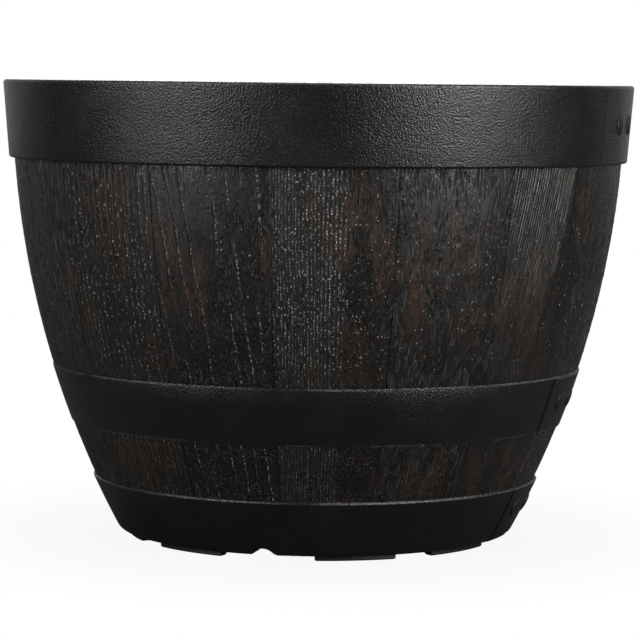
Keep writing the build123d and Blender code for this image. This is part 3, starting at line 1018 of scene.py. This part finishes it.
@dataclass
class Hoops:
    """The three hoops, with their lapped ends."""

    nodes: tuple[str, ...] = ("rim_hoop", "middle_hoop", "base_hoop")
    sharp_angle: float = 40.0
    rim_foot: float = 233.6 * MM
    rim_foot_radius: float = 191.2 * MM
    rim_taper: float = 3.8 / 47.4
    middle_proud: float = 0.7 * MM
    base_proud: float = 1.6 * MM
    rim_lap_share: float = 0.05
    lap_share: float = 0.6
    face_slack: float = 0.05 * MM

    def build(self, finish: Material) -> None:
        """Make every hoop.

        Args:
            finish: The pebbled finish.
        """
        for node in self.nodes:
            piece = smoothed_copy(node, node + "_band", finish, self.sharp_angle)
            self.flatten_lap(piece.data, node)
            place_on_frame(piece, PLANTER, "hoops", node)

    def face(self, node: str, height: float) -> float:
        """Give the radius of a hoop's outer face beside its lap, at a height."""
        if node == "rim_hoop":
            return self.rim_foot_radius + self.rim_taper * (height - self.rim_foot)
        return BELLY.radius(height, -(self.middle_proud if node == "middle_hoop" else self.base_proud))

    def flatten_lap(self, mesh: Mesh, node: str) -> None:
        """Let a lap stand out less than it does in the solid, so that its edge looks moulded in.

        Args:
            mesh: The hoop's mesh, which is changed.
            node: The CAD node that it was copied from.
        """
        kept = self.rim_lap_share if node == "rim_hoop" else self.lap_share
        for vert in mesh.vertices:
            radius, face = distance_out(vert.co), self.face(node, vert.co.z)
            if radius > face + self.face_slack:
                move_out(vert.co, face + (radius - face) * kept)


@dataclass
class Plugs:
    """The drain plugs, each on a body of its own."""

    count: int = 4

    def build(self, finish: Material) -> None:
        """Make every plug.

        Args:
            finish: The rubber finish.
        """
        for number in range(1, self.count + 1):
            node = f"drain_plug_{number}"
            place_on_frame(smoothed_copy(node, f"plug_{number}", finish), node, "plugs", node)


class RivetTree(ShapeGraph):
    """Makes a row of domed rivet heads round a hoop."""

    COUNTS = ("Count",)
    NUMBERS = ("Spacing", "Azimuth", "Radius", "Height", "Tilt", "Head Radius", "Head Rise")
    BALL = {"Segments": 32, "Rings": 16, "Radius": 1.0}

    def __init__(self) -> None:
        """Build the tree."""
        super().__init__("rivet_row", self.COUNTS, self.NUMBERS)
        radius, count = self.given("Radius"), self.given("Count")
        index = self.wire(self.node("GeometryNodeInputIndex"))
        azimuth = self.given("Azimuth") + (index - (count - 1.0) * 0.5) * (self.given("Spacing") / radius)
        place = self.around(radius, azimuth, self.given("Height"))
        points = self.node("GeometryNodePoints", inputs={"Count": count, "Position": place})
        angles = self.vector(self.given("Tilt") + pi / 2, 0.0, azimuth)
        turn = self.node("FunctionNodeEulerToRotation", inputs={0: angles})
        ball = self.wire(self.node("GeometryNodeMeshUVSphere", inputs=self.BALL))
        ball = self.wire(self.node("GeometryNodeSetShadeSmooth", inputs={0: ball}))
        size = self.vector(self.given("Head Radius"), self.given("Head Radius"), self.given("Head Rise"))
        head = self.node("GeometryNodeTransform", inputs={"Geometry": ball, "Scale": size})
        row = {"Points": self.wire(points), "Instance": self.wire(head), "Rotation": self.wire(turn)}
        self.end(self.wire(self.node("GeometryNodeInstanceOnPoints", inputs=row)))


@dataclass
class Rivets:
    """The domed rivets, two on each hoop's lap."""

    count: int = 2
    spacing: float = 25 * MM
    azimuth: float = 73.0
    head_radius: float = 6 * MM
    head_rise: float = 1.2 * MM
    rim_height: float = 257.3 * MM
    rim_radius: float = 193.14 * MM
    rim_tilt: float = 4.58
    middle_height: float = 89.5 * MM
    middle_proud: float = 1.18 * MM
    base_height: float = 23.60 * MM
    base_proud: float = 2.08 * MM

    def build(self, finish: Material) -> None:
        """Make every row of rivets.

        Args:
            finish: The rivets' finish.
        """
        tree = RivetTree()
        rows = [("rim_hoop_rivets", self.rim_height, self.rim_radius, radians(self.rim_tilt))]
        for node, height, proud in (
            ("middle_hoop_rivets", self.middle_height, self.middle_proud),
            ("base_hoop_rivets", self.base_height, self.base_proud),
        ):
            rows.append((node, height, BELLY.radius(height, -proud), BELLY.tilt(height)))
        for node, height, radius, tilt in rows:
            place = {"Azimuth": radians(self.azimuth), "Height": height, "Radius": radius, "Tilt": tilt}
            sizes = labelled(self, "count", "spacing", "head_radius", "head_rise")
            piece = tree.run(node + "_pair", {"Material": finish, **place, **sizes})
            place_on_frame(piece, PLANTER, "rivets", node)


@dataclass
class Studio:
    """The floor, the light and the camera. Each softbox has its azimuth, height and power."""

    distance: float = 1.7905
    camera_height: float = 0.2811
    aim: tuple[float, float, float] = (0.0023, 0.0, 0.1330)
    roll: float = 0.0111
    lens: float = 161.6
    sensor: float = 36.0
    floor_size: float = 6.0
    floor_shade: Colour = (0.07, 0.07, 0.07)
    floor_white: tuple[float, float] = (0.93, 1.0)
    shadow_edge: tuple[float, float] = (0.12, 0.30)
    sky_light: tuple[float, float] = (0.05, 0.45)
    backdrop: tuple[float, float] = (0.5, 0.75)
    softbox_size: tuple[float, float] = (0.75, 1.3)
    softbox_distance: float = 1.6
    overhead_distance: float = 0.1
    softbox_aim: float = 0.15
    softboxes: tuple[tuple[float, float, float], ...] = (
        (-50.0, 0.77, 23.5),
        (50.0, 0.77, 36.5),
        (180.0, 1.1, 26.0),
        (0.0, 1.9, 9.0),
    )

    def build(self) -> None:
        """Make the studio."""
        self.make_camera()
        self.make_floor()
        self.make_world()
        for azimuth, height, power in self.softboxes:
            self.make_softbox(azimuth, height, power)
        bpy.context.scene.view_settings.view_transform = "Standard"

    def make_camera(self) -> None:
        """Place the camera at the photograph's view."""
        data = bpy.data.cameras.new("camera")
        data.lens, data.sensor_width = self.lens, self.sensor
        camera = bpy.data.objects.new("camera", data)
        bpy.context.scene.collection.objects.link(camera)
        place = Vector((0, -self.distance, self.camera_height))
        turn = (Vector(self.aim) - place).to_track_quat("-Z", "Y").to_matrix()
        turn = turn @ Matrix.Rotation(self.roll, 3, "Z")
        camera.matrix_world = Matrix.Translation(place) @ turn.to_4x4()
        bpy.context.scene.camera = camera

    def make_floor(self) -> None:
        """Lay a dark floor that the camera sees as white, with a painted grey shadow round the planter, in
        which its own shadow also shows.
        """
        half = self.floor_size / 2
        mesh = bpy.data.meshes.new("floor")
        corners = [(-half, -half, 0), (half, -half, 0), (half, half, 0), (-half, half, 0)]
        mesh.from_pydata(corners, [], [(0, 1, 2, 3)])
        floor = add_object("floor", mesh)
        material = bpy.data.materials.new("pale_floor")
        material.use_nodes = True
        g = Graph(material.node_tree)
        place = g.wire(g.node("ShaderNodeTexCoord"), "Object")
        away = g.wire(g.node("ShaderNodeVectorMath", {"operation": "LENGTH"}, {0: place}), "Value")
        # Painted shadow: the camera's white is a little greyer within the shadow edge round the planter.
        white = g.ramp_between(g.smooth(away, *self.shadow_edge), *self.floor_white)
        seen = g.wire(g.node("ShaderNodeLightPath"), "Is Camera Ray")
        plain = g.node("ShaderNodeBsdfDiffuse", inputs={"Color": (*self.floor_shade, 1)})
        glow = g.node("ShaderNodeEmission", inputs={"Color": (1, 1, 1, 1), "Strength": 1.0})
        mixed = g.node("ShaderNodeMixShader", inputs={0: seen * white, 1: g.wire(plain), 2: g.wire(glow)})
        g.node("ShaderNodeOutputMaterial", inputs={"Surface": g.wire(mixed)})
        mesh.materials.append(material)

    def make_world(self) -> None:
        """Make the sky white for the camera and dim for the object, with a pale backdrop behind it."""
        world = bpy.data.worlds.new("studio")
        bpy.context.scene.world = world
        world.use_nodes = True
        g = Graph(world.node_tree)
        seen = g.wire(g.node("ShaderNodeLightPath"), "Is Camera Ray")
        _, depth, _ = g.parts(g.wire(g.node("ShaderNodeTexCoord"), "Generated"))
        dim = g.ramp_between(g.smooth(depth, *self.backdrop), *self.sky_light)
        strength = seen + (1.0 - seen) * dim
        light = g.node("ShaderNodeBackground", inputs={"Color": (1, 1, 1, 1), "Strength": strength})
        g.node("ShaderNodeOutputWorld", inputs={"Surface": g.wire(light)})

    def make_softbox(self, azimuth: float, height: float, power: float) -> None:
        """Hang a large soft lamp that faces the planter.

        Args:
            azimuth: Its azimuth in degrees.
            height: Its height. One that hangs higher than it is away is brought in over the planter.
            power: Its power in watts.
        """
        data = bpy.data.lights.new("softbox", "AREA")
        data.shape = "RECTANGLE"
        data.size, data.size_y = self.softbox_size
        data.energy = power
        lamp = bpy.data.objects.new("softbox", data)
        bpy.context.scene.collection.objects.link(lamp)
        reach = self.softbox_distance if height < self.softbox_distance else self.overhead_distance
        turn = radians(azimuth)
        place = Vector((reach * sin(turn), -reach * cos(turn), height))
        aim = (Vector((0, 0, self.softbox_aim)) - place).to_track_quat("-Z", "Y")
        lamp.matrix_world = Matrix.Translation(place) @ aim.to_matrix().to_4x4()
        lamp.visible_camera = False


def main() -> None:
    """Build the planter and its studio."""
    logging.basicConfig(level=logging.INFO, format="%(message)s")
    Studio().build()
    StaveWall().build()
    inner = PlainResin("inner_resin", base=(0.012, 0.0105, 0.010), cloud=(0.018, 0.015, 0.014))
    Shell().build(inner.build())
    Hoops().build(PebbledBlack().build())
    heads = PlainResin("rivet_resin", base=(0.0035, 0.0036, 0.0040), cloud=(0.0055, 0.0056, 0.0060))
    Rivets().build(heads.build())
    rubber = PlainResin("plug_rubber", base=(0.012,) * 3, cloud=(0.018,) * 3, roughness=0.6)
    Plugs().build(rubber.build())


if __name__ == "__main__":
    main()
